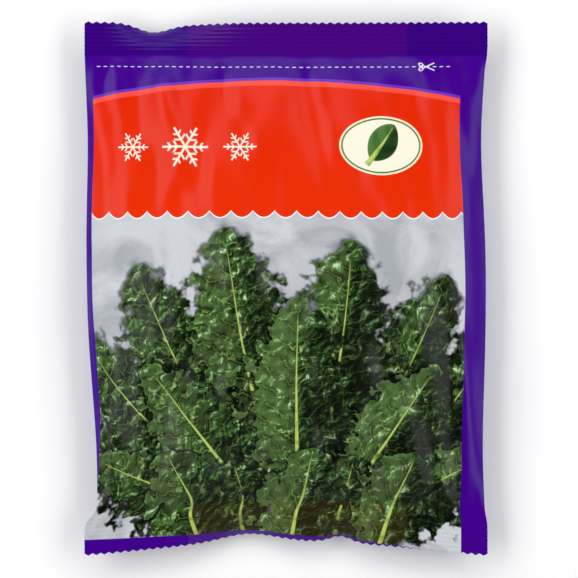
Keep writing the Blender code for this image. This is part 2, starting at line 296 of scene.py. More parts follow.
def oval_group():
    """Depth, in mm, of a place inside an oval, and a mask of the oval."""
    inputs = {"Place": "Vector", "Centre": "Vector", "Half size": "Vector"}
    tree, given = interface("oval", "ShaderNodeTree", inputs, {"Mask": "Float", "Depth": "Float"})
    away = add(tree, "ShaderNodeVectorMath", given["Place"], given["Centre"], operation="SUBTRACT")
    scaled = add(tree, "ShaderNodeVectorMath", away, given["Half size"], operation="DIVIDE")
    length = add(tree, "ShaderNodeVectorMath", scaled, operation="LENGTH").node.outputs["Value"]
    inside = add(tree, "ShaderNodeMath", 1.0, length, operation="SUBTRACT")
    height = add(tree, "ShaderNodeSeparateXYZ", given["Half size"]).node.outputs["Y"]
    depth = add(tree, "ShaderNodeMath", inside, height, operation="MULTIPLY")
    mask = add(tree, "ShaderNodeMapRange", depth, -INK_EDGE, INK_EDGE)
    add(tree, "NodeGroupOutput", mask, depth)
    return tree


def snowflake_group():
    """Mask of a six-armed snowflake with two pairs of barbs on each arm."""
    inputs = {"Place": "Vector", "Centre": "Vector", "Radius": "Float"}
    tree, given = interface("snowflake", "ShaderNodeTree", inputs, {"Mask": "Float"})
    away = add(tree, "ShaderNodeVectorMath", given["Place"], given["Centre"], operation="SUBTRACT")
    x, y, _ = add(tree, "ShaderNodeSeparateXYZ", away).node.outputs
    angle = add(tree, "ShaderNodeMath", y, x, operation="ARCTAN2")
    folded = add(tree, "ShaderNodeMath", angle, math.pi / 6, operation="PINGPONG")
    length = add(tree, "ShaderNodeVectorMath", away, operation="LENGTH").node.outputs["Value"]
    share = add(tree, "ShaderNodeMath", length, given["Radius"], operation="DIVIDE")
    cosine = add(tree, "ShaderNodeMath", folded, operation="COSINE")
    sine = add(tree, "ShaderNodeMath", folded, operation="SINE")
    along = add(tree, "ShaderNodeMath", share, cosine, operation="MULTIPLY")
    aside = add(tree, "ShaderNodeMath", share, sine, operation="MULTIPLY")
    wide = add(tree, "ShaderNodeMath", FLAKE_ARM, aside, operation="SUBTRACT")
    tip = add(tree, "ShaderNodeMath", 1.0, along, operation="SUBTRACT")
    depth = add(tree, "ShaderNodeMath", wide, tip, operation="MINIMUM")
    for root, reach in FLAKE_BARBS:
        past = add(tree, "ShaderNodeMath", along, root, operation="SUBTRACT")
        rise = add(tree, "ShaderNodeMath", past, math.sin(math.pi / 3), operation="MULTIPLY")
        run = add(tree, "ShaderNodeMath", aside, math.cos(math.pi / 3), operation="MULTIPLY")
        off = add(tree, "ShaderNodeMath", rise, run, operation="SUBTRACT")
        size = add(tree, "ShaderNodeMath", off, operation="ABSOLUTE")
        slim = add(tree, "ShaderNodeMath", FLAKE_BARB, size, operation="SUBTRACT")
        end = add(tree, "ShaderNodeMath", reach, aside, operation="SUBTRACT")
        barb = add(tree, "ShaderNodeMath", slim, end, operation="MINIMUM")
        depth = add(tree, "ShaderNodeMath", depth, barb, operation="MAXIMUM")
    mask = add(tree, "ShaderNodeMapRange", depth, -0.015, 0.015)
    add(tree, "NodeGroupOutput", mask)
    return tree


def kale_leaf_group():
    """One more leaf of curly kale on a printed pile: the pile's light, its pale ribs and its mask."""
    pile = dict.fromkeys(("Light", "Rib", "Cover"), "Float")
    inputs = {"Place": "Vector", "Frill": "Float", "Stalk": "Vector"} | pile
    inputs |= dict.fromkeys(LEAF_SIZES, "Float")
    tree, given = interface("kale_leaf", "ShaderNodeTree", inputs, pile)

    # Smooth steps need no clamp, and a clamp in each would overfill Cycles' shader stack on a pile this tall
    soft = {"interpolation_type": "SMOOTHSTEP", "clamp": False}
    away = add(tree, "ShaderNodeVectorMath", given["Place"], given["Stalk"], operation="SUBTRACT")
    cosine = add(tree, "ShaderNodeMath", given["Turn"], operation="COSINE")
    sine = add(tree, "ShaderNodeMath", given["Turn"], operation="SINE")
    opposite = add(tree, "ShaderNodeMath", 0.0, sine, operation="SUBTRACT")
    across_axis = add(tree, "ShaderNodeCombineXYZ", cosine, opposite)
    along_axis = add(tree, "ShaderNodeCombineXYZ", sine, cosine)
    t = add(tree, "ShaderNodeVectorMath", away, across_axis, operation="DOT_PRODUCT").node.outputs["Value"]
    s = add(tree, "ShaderNodeVectorMath", away, along_axis, operation="DOT_PRODUCT").node.outputs["Value"]
    along = add(tree, "ShaderNodeMath", s, given["Length"], operation="DIVIDE")
    arc = add(tree, "ShaderNodeMath", along, along, operation="MULTIPLY")
    bow = add(tree, "ShaderNodeMath", arc, given["Bend"], operation="MULTIPLY")
    swayed = add(tree, "ShaderNodeMath", t, bow, operation="SUBTRACT")
    aside = add(tree, "ShaderNodeMath", swayed, operation="ABSOLUTE")

    # The outline: an oval blade that starts above a bare stalk, with a frilled edge
    frilled = add(tree, "ShaderNodeMapRange", given["Frill"], 0.25, 0.75, 0.6, 1.3, **soft)
    reach = add(tree, "ShaderNodeMath", along, BLADE_START, operation="MAXIMUM")
    reach = add(tree, "ShaderNodeMath", reach, 1.0, operation="MINIMUM")
    half_turn = add(tree, "ShaderNodeMapRange", reach, BLADE_START, 1.0, 0.0, math.pi, clamp=False)
    arch = add(tree, "ShaderNodeMath", half_turn, operation="SINE")
    arch = add(tree, "ShaderNodeMath", arch, 0.0, operation="MAXIMUM")
    profile = add(tree, "ShaderNodeMath", arch, 0.6, operation="POWER")
    plain = add(tree, "ShaderNodeMath", profile, given["Half width"], operation="MULTIPLY")
    edge = add(tree, "ShaderNodeMath", plain, frilled, operation="MULTIPLY")
    depth = add(tree, "ShaderNodeMath", edge, aside, operation="SUBTRACT")
    cover = add(tree, "ShaderNodeMapRange", depth, 0.1, 0.4, **soft)

    # The rib, which tapers to the tip, and slanted veins that leave it
    rib_edge = add(tree, "ShaderNodeMapRange", along, 0.0, 1.0, RIB_AT_FOOT, RIB_AT_TIP, **soft)
    rib_depth = add(tree, "ShaderNodeMath", rib_edge, aside, operation="SUBTRACT")
    rib = add(tree, "ShaderNodeMapRange", rib_depth, -0.25, 0.35, **soft)
    base = add(tree, "ShaderNodeMapRange", s, -0.2, 0.2, **soft)
    tip = add(tree, "ShaderNodeMapRange", along, 0.90, 0.95, 1.0, 0.0, **soft)
    ends = add(tree, "ShaderNodeMath", base, tip, operation="MULTIPLY")
    rib = add(tree, "ShaderNodeMath", rib, ends, operation="MULTIPLY")
    slant = add(tree, "ShaderNodeMath", aside, VEIN_SLANT, operation="MULTIPLY")
    run = add(tree, "ShaderNodeMath", s, slant, operation="SUBTRACT")
    wander = add(tree, "ShaderNodeMapRange", given["Frill"], 0.0, 1.0, -4.0, 4.0, **soft)
    run = add(tree, "ShaderNodeMath", run, wander, operation="ADD")
    spacing = add(tree, "ShaderNodeMath", run, VEIN_SPACING, operation="PINGPONG")
    vein = add(tree, "ShaderNodeMapRange", spacing, 0.1, 0.5, 0.3, 0.0, **soft)
    inward = add(tree, "ShaderNodeMapRange", depth, 2.0, 9.0, **soft)
    vein = add(tree, "ShaderNodeMath", vein, inward, operation="MULTIPLY")
    pale = add(tree, "ShaderNodeMath", rib, vein, operation="MAXIMUM")

    # The blade is folded along its rib and puckered between veins, and bright where it faces the light
    heading = add(tree, "ShaderNodeMath", given["Turn"], LIGHT_HEADING, operation="ADD")
    light_across = add(tree, "ShaderNodeMath", heading, operation="COSINE")
    light_along = add(tree, "ShaderNodeMath", heading, operation="SINE")
    side = add(tree, "ShaderNodeMath", swayed, given["Half width"], operation="DIVIDE")
    side = add(tree, "ShaderNodeMapRange", side, -0.5, 0.5, -1.0, 1.0, **soft)
    facing = add(tree, "ShaderNodeMath", side, light_across, operation="MULTIPLY")
    tilt = add(tree, "ShaderNodeMath", along, 0.55, operation="SUBTRACT")
    tilt = add(tree, "ShaderNodeMath", tilt, light_along, operation="MULTIPLY")
    facing = add(tree, "ShaderNodeMath", facing, tilt, operation="ADD")
    facing = add(tree, "ShaderNodeMapRange", facing, -0.8, 0.8, 0.35, 1.6, **soft)
    pucker = add(tree, "ShaderNodeMapRange", spacing, 0.0, 3.5, 0.7, 1.15, **soft)
    rim = add(tree, "ShaderNodeMapRange", depth, 0.2, 2.5, 1.5, 1.0, **soft)
    bright = add(tree, "ShaderNodeMath", facing, pucker, operation="MULTIPLY")
    bright = add(tree, "ShaderNodeMath", bright, rim, operation="MULTIPLY")
    bright = add(tree, "ShaderNodeMath", bright, given["Exposure"], operation="MULTIPLY")

    # It shades what lies under it
    shade = add(tree, "ShaderNodeMapRange", depth, -5.5, 1.5, **soft)
    beyond = add(tree, "ShaderNodeMapRange", along, 0.98, 1.04, 1.0, 0.0, **soft)
    before = add(tree, "ShaderNodeMapRange", along, 0.02, 0.16, **soft)
    shade = add(tree, "ShaderNodeMath", shade, beyond, operation="MULTIPLY")
    shade = add(tree, "ShaderNodeMath", shade, before, operation="MULTIPLY")
    shaded = add(tree, "ShaderNodeMapRange", shade, 0.0, 1.0, 1.0, 0.12, **soft)
    cover = add(tree, "ShaderNodeMath", cover, rib, operation="MAXIMUM")
    under_light = add(tree, "ShaderNodeMath", given["Light"], shaded, operation="MULTIPLY")
    under_pale = add(tree, "ShaderNodeMath", given["Rib"], shaded, operation="MULTIPLY")
    light = add(tree, "ShaderNodeMix", named={0: cover, 2: under_light, 3: bright})
    ribs = add(tree, "ShaderNodeMix", named={0: cover, 2: under_pale, 3: pale})
    covered = add(tree, "ShaderNodeMath", given["Cover"], cover, operation="MAXIMUM")
    add(tree, "NodeGroupOutput", light, ribs, covered)
    return tree


def kale_blade_group():
    """Crinkled kale seen close, lit from the upper left, with deep hollows."""
    tree, given = interface("kale_blade", "ShaderNodeTree", {"Place": "Vector"}, {"Colour": "Color"})

    # Scales are per millimetre: swirls of 11 mm, lumps of 8 mm, blisters of 5 mm and hollows of 17 mm
    swirls = {"Vector": given["Place"], "Scale": 0.09, "Detail": 2.0}
    swirl = add(tree, "ShaderNodeTexNoise", named=swirls, noise_dimensions="2D").node.outputs["Color"]
    swirl = add(tree, "ShaderNodeVectorMath", swirl, named={"Scale": 9.0}, operation="SCALE")
    warped = add(tree, "ShaderNodeVectorMath", given["Place"], swirl, operation="ADD")
    lumps = {"Scale": 0.13, "Detail": 4.0, "Roughness": 0.6}
    blisters = {"Scale": 0.22, "Smoothness": 0.5}

    # Its light is the step in height between two places, 1 mm apart towards the upper left
    lit = []
    for shift in (0.0, 0.7):
        moved = add(tree, "ShaderNodeVectorMath", warped, (-shift, shift, 0.0), operation="ADD")
        lump = add(tree, "ShaderNodeTexNoise", named=lumps | {"Vector": moved}, noise_dimensions="2D")
        lump = add(tree, "ShaderNodeMath", lump, 1.9, operation="MULTIPLY")
        voronoi = {"voronoi_dimensions": "2D", "feature": "SMOOTH_F1"}
        blister = add(tree, "ShaderNodeTexVoronoi", named=blisters | {"Vector": moved}, **voronoi)
        blister = add(tree, "ShaderNodeMath", blister, 0.55, operation="MULTIPLY")
        lit.append(add(tree, "ShaderNodeMath", lump, blister, operation="SUBTRACT"))
    relief = add(tree, "ShaderNodeMath", *lit, operation="SUBTRACT")
    light = add(tree, "ShaderNodeMapRange", relief, -0.26, 0.32)
    ramp = add(tree, "ShaderNodeValToRGB", light)
    stops = ramp.node.color_ramp.elements
    stops[0].position, stops[0].color = 0.1, hex_colour("0D170B")
    stops[1].position, stops[1].color = 1.0, hex_colour("C6DCB8")
    for position, code in ((0.4, "243A1C"), (0.6, "3B5C2B"), (0.8, "6C9152")):
        stops.new(position).color = hex_colour(code)
    hollow = {"Vector": given["Place"], "Scale": 0.06, "Detail": 2.0}
    hollows = add(tree, "ShaderNodeTexNoise", named=hollow, noise_dimensions="2D")
    hollows = add(tree, "ShaderNodeMapRange", hollows, 0.36, 0.56, 0.7, 0.0)
    sunk = add(tree, "ShaderNodeMix", named={0: hollows, 6: ramp, 7: hex_colour("060A06")}, data_type="RGBA")
    add(tree, "NodeGroupOutput", sunk.node.outputs[2])
    return tree


def film_material():
    """Printed polyethylene film, blown through a round die, so it is smooth and has a soft even gloss."""
    material = bpy.data.materials.new("printed_pe_film")
    material.use_nodes = True
    tree = material.node_tree
    tree.nodes.clear()
    panel, oval, snowflake, kale_leaf = panel_group(), oval_group(), snowflake_group(), kale_leaf_group()
    web = add(tree, "ShaderNodeUVMap", uv_map="web")
    place = add(tree, "ShaderNodeMapping", web, named={"Scale": (1000.0, 1000.0, 1000.0)})
    u, v, _ = add(tree, "ShaderNodeSeparateXYZ", place).node.outputs

    def over(under, colour, mask):
        """The colour laid over the one under it."""
        mix = add(tree, "ShaderNodeMix", named={0: mask, 6: under, 7: colour}, data_type="RGBA")
        return mix.node.outputs[2]

    # The picture: pale stone, clouded at about 50 mm, and leaves of kale fanned out from the bottom edge.
    # Each leaf's foot comes first, and then its LEAF_SIZES. The top one of the pile is the last.
    cloud = {"Vector": place, "Scale": 0.02, "Detail": 6.0, "Roughness": 0.6, "Distortion": 1.2}
    clouds = add(tree, "ShaderNodeTexNoise", named=cloud)
    clouded = add(tree, "ShaderNodeMapRange", clouds, 0.38, 0.56)
    stone = over(hex_colour("A5A9B0"), hex_colour("C9CCD0"), clouded)
    leaves = (
        ((-14, -120), -1.16, 112, 22, 14, 0.8),
        ((18, -120), 1.14, 108, 22, -14, 0.8),
        ((-10, -122), -0.83, 132, 24, 14, 0.9),
        ((16, -122), 0.80, 128, 24, -12, 0.9),
        ((-6, -124), -0.50, 148, 24, 10, 0.8),
        ((12, -124), 0.50, 144, 24, -8, 0.8),
        ((-2, -126), -0.20, 156, 24, 6, 1.0),
        ((8, -126), 0.20, 150, 24, -9, 1.0),
        ((-16, -126), -0.95, 92, 20, -9, 1.1),
        ((20, -126), 0.92, 92, 20, 9, 1.1),
        ((-8, -128), -0.48, 108, 21, -8, 1.2),
        ((16, -128), 0.45, 106, 21, 8, 1.2),
        ((4, -130), -0.03, 126, 23, 5, 1.25),
        ((-18, -142), -0.10, 58, 19, -3, 0.8),
        ((21, -142), 0.10, 60, 19, 3, 0.8),
        ((-36, -140), -0.30, 66, 20, -3, 1.1),
        ((40, -140), 0.26, 64, 20, 3, 1.1),
        ((0, -144), 0.12, 66, 21, 3, 1.2),
    )
    ruffle = {"Vector": place, "Scale": 0.14, "Detail": 2.0, "Roughness": 0.5}
    frill = add(tree, "ShaderNodeTexNoise", named=ruffle, noise_dimensions="2D")

    def laid(pile, frill, stalk, *sizes):
        """Light, ribs and mask of the pile with one more leaf on it."""
        named = dict(zip(LEAF_SIZES, sizes)) | {"Place": place, "Frill": frill, "Stalk": (*stalk, 0)}
        named |= dict(zip(("Light", "Rib", "Cover"), pile))
        return add(tree, "ShaderNodeGroup", named=named, node_tree=kale_leaf).node.outputs

    def kale(blade, light, ribs):
        """Colour of kale in the pile's light."""
        dark = add(tree, "ShaderNodeMapRange", light, 1.1, 0.1, 0.0, 0.95)
        bright = add(tree, "ShaderNodeMapRange", light, 1.0, 2.2, 0.0, 0.28)
        lit = over(blade, hex_colour("84AA60"), bright)
        return over(over(lit, hex_colour("B7CE66"), ribs), hex_colour("050805"), dark)

    bare = (1.0, 0.0, 0.0)
    pile = bare
    for leaf in leaves:
        pile = laid(pile, frill, *leaf)
    light, ribs, cover = pile
    blade = add(tree, "ShaderNodeGroup", place, node_tree=kale_blade_group())
    shadow = add(tree, "ShaderNodeMapRange", light, 0.0, 1.0, 1.0, 0.0)
    picture = over(over(stone, hex_colour("10160F"), shadow), kale(blade, light, ribs), cover)

    # The picture on its purple ground. Its left edge and foot run askew, as on a web cut a little off.
    left = add(tree, "ShaderNodeMapRange", v, -110.0, -60.0, PICTURE[0] - 6, PICTURE[0])
    foot = add(tree, "ShaderNodeMapRange", u, PICTURE[0], 66.0, PICTURE[2], PICTURE[2] - 7.5)
    framed = add(tree, "ShaderNodeGroup", place, left, PICTURE[1], foot, PICTURE[3], node_tree=panel)
    ground = over(hex_colour("40008A"), picture, framed)

    # The header: an arched top, edged in light purple and light red, and a scalloped foot, edged in white
    off_middle = add(tree, "ShaderNodeMath", u, ARCH_MIDDLE, operation="SUBTRACT")
    share = add(tree, "ShaderNodeMath", off_middle, ARCH_HALF_SPAN, operation="DIVIDE")
    fall = add(tree, "ShaderNodeMath", share, share, operation="MULTIPLY")
    top = add(tree, "ShaderNodeMapRange", fall, 0.0, 1.0, HEADER[3], HEADER[3] - ARCH_FALL)
    scallop = add(tree, "ShaderNodeMath", u, SCALLOP_HALF, operation="PINGPONG")
    scallop = add(tree, "ShaderNodeMath", scallop, SCALLOP_HALF, operation="DIVIDE")
    scallop = add(tree, "ShaderNodeMath", scallop, 2.0, operation="POWER")
    base = add(tree, "ShaderNodeMapRange", scallop, 0.0, 1.0, HEADER[2] - SCALLOP_DEPTH, HEADER[2])
    stripe_top = add(tree, "ShaderNodeMath", top, 1.4, operation="ADD")
    stripe = add(tree, "ShaderNodeGroup", place, *HEADER[:2], base, stripe_top, node_tree=panel)
    trim_base = add(tree, "ShaderNodeMath", base, 0.7, operation="SUBTRACT")
    trim = add(tree, "ShaderNodeGroup", place, *HEADER[:2], trim_base, 50.0, node_tree=panel)
    header = add(tree, "ShaderNodeGroup", place, *HEADER[:2], base, top, node_tree=panel)
    blush = add(tree, "ShaderNodeMapRange", v, HEADER[2], HEADER[3])
    red = over(hex_colour("E42E03"), hex_colour("DE2602"), blush)
    ground = over(ground, hex_colour("F2F1EC"), trim)
    ground = over(ground, hex_colour("6A34B8"), stripe)
    below_top = add(tree, "ShaderNodeMath", top, v, operation="SUBTRACT")
    crest = add(tree, "ShaderNodeMapRange", below_top, 2.6, 2.2)
    ground = over(ground, over(red, hex_colour("F94F3E"), crest), header)

    # On the header: a cream plaque, three snowflakes, and a small leaf on the plaque
    for inset, code in ((0, "F4EBC8"), (0.9, "3E6B2C"), (1.6, "F6F0DA")):
        half_size = (19.5 - inset, 14 - inset, 1)
        plaque = add(tree, "ShaderNodeGroup", place, (44, 67, 0), half_size, node_tree=oval)
        ground = over(ground, hex_colour(code), plaque)
    for centre, radius in (((-70, 66, 0), 7.5), ((-45, 66, 0), 10.5), ((-20, 66, 0), 7.5)):
        flake = add(tree, "ShaderNodeGroup", place, centre, radius, node_tree=snowflake)
        ground = over(ground, hex_colour("F7E9D8"), flake)
    light, ribs, cover = laid(bare, 0.5, (37, 58), 0.7, 23, 7.5, -2, 1.1)
    ground = over(ground, kale(hex_colour("35602A"), light, ribs), cover)

    # The line to cut along, in dashes, with a pair of scissors on it
    pale = hex_colour("E9E2F2")
    dashes = add(tree, "ShaderNodeMath", u, 3.3, operation="FLOORED_MODULO")
    dash = add(tree, "ShaderNodeMapRange", dashes, 1.65, 1.75, 1.0, 0.0)
    line = add(tree, "ShaderNodeGroup", place, -89.0, 79.0, 104.45, 104.8, node_tree=panel)
    dashed = add(tree, "ShaderNodeMath", dash, line, operation="MULTIPLY")
    ground = over(ground, pale, dashed)
    pivot = (66, 104.6, 0)
    for tilt in (-0.42, 0.42):
        turn = {"Angle": tilt}
        turned = add(tree, "ShaderNodeVectorRotate", place, pivot, named=turn, rotation_type="Z_AXIS")
        cutter = add(tree, "ShaderNodeGroup", turned, 64.6, 70.4, 104.35, 104.85, node_tree=panel)
        ground = over(ground, pale, cutter)
        handle = add(tree, "ShaderNodeGroup", turned, (63.4, 104.6, 0), (1.3, 0.9, 1), node_tree=oval)
        hollow = add(tree, "ShaderNodeMapRange", handle.node.outputs["Depth"], 0.4, 0.5, 1.0, 0.0)
        rim = add(tree, "ShaderNodeMath", handle, hollow, operation="MULTIPLY")
        ground = over(ground, pale, rim)

    # The back: a red panel and an empty cream table with ruled lines
    round_u = add(tree, "ShaderNodeMath", u, operation="ABSOLUTE")
    off_fin = add(tree, "ShaderNodeMath", 1000 * FILM_WIDTH, round_u, operation="SUBTRACT")
    back = add(tree, "ShaderNodeCombineXYZ", off_fin, v)
    back_red = add(tree, "ShaderNodeGroup", back, 0.0, 57.0, -104.0, 100.0, node_tree=panel)
    ground = over(ground, hex_colour("E8360F"), back_red)
    table = add(tree, "ShaderNodeGroup", back, 14.0, 50.0, -60.0, 60.0, node_tree=panel)
    ground = over(ground, hex_colour("F1ECDD"), table)
    rows = add(tree, "ShaderNodeMath", v, 6.0, operation="FLOORED_MODULO")
    ruled = add(tree, "ShaderNodeMapRange", rows, 0.25, 0.35, 1.0, 0.0)
    inner = add(tree, "ShaderNodeGroup", back, 17.0, 47.0, -56.0, 57.0, node_tree=panel)
    rules = add(tree, "ShaderNodeMath", ruled, inner, operation="MULTIPLY")
    ground = over(ground, hex_colour("5A5560"), rules)

    # Vent holes, 1.4 mm across, in the back. They aren't cut: each is a near-black dot of painted shade for
    # the bag's dark inside.
    for number in range(3):
        centre = (-150 - 14 * number, 90, 0)
        painted_hole_shade = add(tree, "ShaderNodeGroup", place, centre, (0.7, 0.7, 1), node_tree=oval)
        ground = over(ground, hex_colour("08060A"), painted_hole_shade)

    # In the welds the layers lie tight, so the ground is deeper and the back's red shows through
    weld_top, weld_bottom = 1000 * TOP_LINE, -1000 * BOTTOM_LINE
    upper_weld = add(tree, "ShaderNodeMapRange", v, weld_top - 0.4, weld_top + 0.4)
    lower_weld = add(tree, "ShaderNodeMapRange", v, weld_bottom + 0.4, weld_bottom - 0.4)
    deeper = {0: 1.0, 6: ground, 7: hex_colour("DAD6E4")}
    deep = add(tree, "ShaderNodeMix", named=deeper, data_type="RGBA", blend_type="MULTIPLY")
    ground = over(ground, deep.node.outputs[2], upper_weld)
    red_behind = add(tree, "ShaderNodeGroup", place, -46.0, 57.0, -130.0, 130.0, node_tree=panel)
    for weld, code, strength in ((upper_weld, "E0301A", 0.03), (lower_weld, "C0904A", 0.035)):
        warm = add(tree, "ShaderNodeMath", red_behind, weld, operation="MULTIPLY")
        warm = add(tree, "ShaderNodeMath", warm, strength, operation="MULTIPLY")
        ground = over(ground, hex_colour(code), warm)

    # Fine creases that the simulated web is too coarse to hold, about 9 mm apart and 20 mm long
    stretched = add(tree, "ShaderNodeVectorMath", place, (1.0, 0.45, 1.0), operation="MULTIPLY")
    crease = {"Vector": stretched, "Scale": 0.11, "Detail": 3.0, "Roughness": 0.5, "Distortion": 0.6}
    creases = add(tree, "ShaderNodeTexNoise", named=crease)
    height = add(tree, "ShaderNodeMath", creases, 0.0003, operation="MULTIPLY")
    bump = add(tree, "ShaderNodeBump", named={"Height": height, "Strength": 0.5, "Distance": 1.0})

    # Polyethylene's IOR is about 1.5. Its roughness and specular level are matched to the photo's gloss.
    gloss = {"Roughness": 0.26, "IOR": 1.5, "Specular IOR Level": 0.14, "Normal": bump}
    shader = add(tree, "ShaderNodeBsdfPrincipled", ground, named=gloss)
    add(tree, "ShaderNodeOutputMaterial", shader)
    return material


# The shown film follows the simulated web, with more points, and bears what machines pressed and cut:
# ribs across both welds, where heated jaws squeezed the two layers together, and the zigzag of the knife.
# Its fin, where the web's two edges are welded into a tube, lies folded flat along the back.

FILM_COLUMNS, BELLY_ROWS = 200, 120
FIN_WIDTH = 0.011
FIN_COLUMNS, ROWS_PAST_FIN = 5, 2
FIN_GAP = 0.00005
TOOTH_PITCH = 0.0038
TOOTH_DEPTH = 0.0010
TOOTH_ROWS = 9
RIB_PITCH = 0.0020
RIB_HEIGHT = 0.00006
SEAL_ROW = RIB_PITCH / 6
LANDING = 0.0012


def between(knots, values, at):
    """Cubic curve through values at the knots, read at other points, along the first axis."""
    slopes = np.gradient(values, knots, axis=0)
    low = np.clip(np.searchsorted(knots, at, side="right") - 1, 0, len(knots) - 2)
    shape = (-1,) + (1,) * (values.ndim - 1)
    width = (knots[low + 1] - knots[low]).reshape(shape)
    t = (at - knots[low]).reshape(shape) / width
    first = (1 + 2 * t) * (1 - t) ** 2 * values[low] + t * (1 - t) ** 2 * width * slopes[low]
    return first + t * t * (3 - 2 * t) * values[low + 1] + t * t * (t - 1) * width * slopes[low + 1]


def film_places(web, x, y):
    """Points of the creased web at the flat columns x and rows y: places[face][row][column]."""
    flat_y, flat_x, places = web
    fine = between(flat_x, places.transpose(2, 1, 0, 3), x).transpose(1, 0, 2, 3)
    parts = []
    for low, high in ((-HALF_HEIGHT, -BOTTOM_LINE), (-BOTTOM_LINE, TOP_LINE), (TOP_LINE, HALF_HEIGHT)):
        knots = (flat_y > low - 1e-6) & (flat_y < high + 1e-6)
        wanted = (y > low - 1e-6) & (y < high - 1e-6) if high < HALF_HEIGHT else y > low - 1e-6
        parts.append(between(flat_y[knots], fine[knots], y[wanted]))
    fine = np.concatenate(parts).transpose(2, 0, 1, 3)

    # The back lies flat on the fin, which lies flat on the floor
    above = (fine[..., 2] - FIN_THICKNESS) / LANDING
    landed = FIN_THICKNESS + LANDING * np.logaddexp(0, np.minimum(above, 20))
    fine[..., 2] = np.where(above < 20, landed, fine[..., 2])
    return fine


def pressed_ribs():
    """Geometry Nodes tree that presses ribs into the welded bands, the same way through both layers."""
    sizes = dict.fromkeys(("Rib pitch", "Rib height"), "Float")
    inputs = {"Film": "Geometry"} | sizes | {"Material": "Material"}
    tree, given = interface("pressed_ribs", "GeometryNodeTree", inputs, {"Film": "Geometry"})
    past = add(tree, "GeometryNodeInputNamedAttribute", "past_seal_line", data_type="FLOAT")
    left = add(tree, "GeometryNodeInputNamedAttribute", "left_to_cut", data_type="FLOAT")
    layer = add(tree, "GeometryNodeInputNamedAttribute", "layer", data_type="FLOAT")
    turns = add(tree, "ShaderNodeMath", past, given["Rib pitch"], operation="DIVIDE")
    angle = add(tree, "ShaderNodeMath", turns, math.tau, operation="MULTIPLY")
    wave = add(tree, "ShaderNodeMath", angle, operation="SINE")
    starts = add(tree, "ShaderNodeMapRange", past, 0.0, given["Rib pitch"])
    level = add(tree, "ShaderNodeMath", given["Rib pitch"], 0.75, operation="MULTIPLY")
    ends = add(tree, "ShaderNodeMapRange", left, level, given["Rib pitch"])
    faded = add(tree, "ShaderNodeMath", starts, ends, operation="MULTIPLY")
    height = add(tree, "ShaderNodeMath", wave, faded, operation="MULTIPLY")
    scaled = add(tree, "ShaderNodeMath", height, given["Rib height"], operation="MULTIPLY")
    signed = add(tree, "ShaderNodeMath", scaled, layer, operation="MULTIPLY")
    normal = add(tree, "GeometryNodeInputNormal")
    offset = add(tree, "ShaderNodeVectorMath", normal, named={"Scale": signed}, operation="SCALE")
    moved = add(tree, "GeometryNodeSetPosition", given["Film"], named={"Offset": offset})
    real = add(tree, "GeometryNodeRealizeInstances", moved)
    finished = add(tree, "GeometryNodeSetMaterial", real, named={"Material": given["Material"]})
    add(tree, "NodeGroupOutput", finished)
    return tree


def baked(made, tree, inputs):
    """Runs a Geometry Nodes tree on an object, and leaves its result as the object's plain mesh."""
    modifier = made.modifiers.new(tree.name, "NODES")
    modifier.node_group = tree
    for item in tree.interface.items_tree:
        if item.in_out == "INPUT" and item.name in inputs:
            modifier[item.identifier] = inputs[item.name]
    evaluated = made.evaluated_get(bpy.context.evaluated_depsgraph_get())
    result = bpy.data.meshes.new_from_object(evaluated)
    made.modifiers.remove(modifier)
    made.data = result
    return made


def skin_faces(rows, columns, first=0):
    """Faces of a closed skin round two grids of points: front, back and the rim, in that order."""
    count = rows * columns
    parts = [grid_faces(rows, columns, first), grid_faces(rows, columns, first + count, True)]
    index = first + np.arange(count).reshape(rows, columns)
    for line, flip in ((index[0], False), (index[-1], True), (index[:, 0], True), (index[:, -1], False)):
        rim = np.stack([line[:-1], line[:-1] + count, line[1:] + count, line[1:]], -1)
        parts.append(rim[:, ::-1] if flip else rim)
    return np.concatenate(parts)


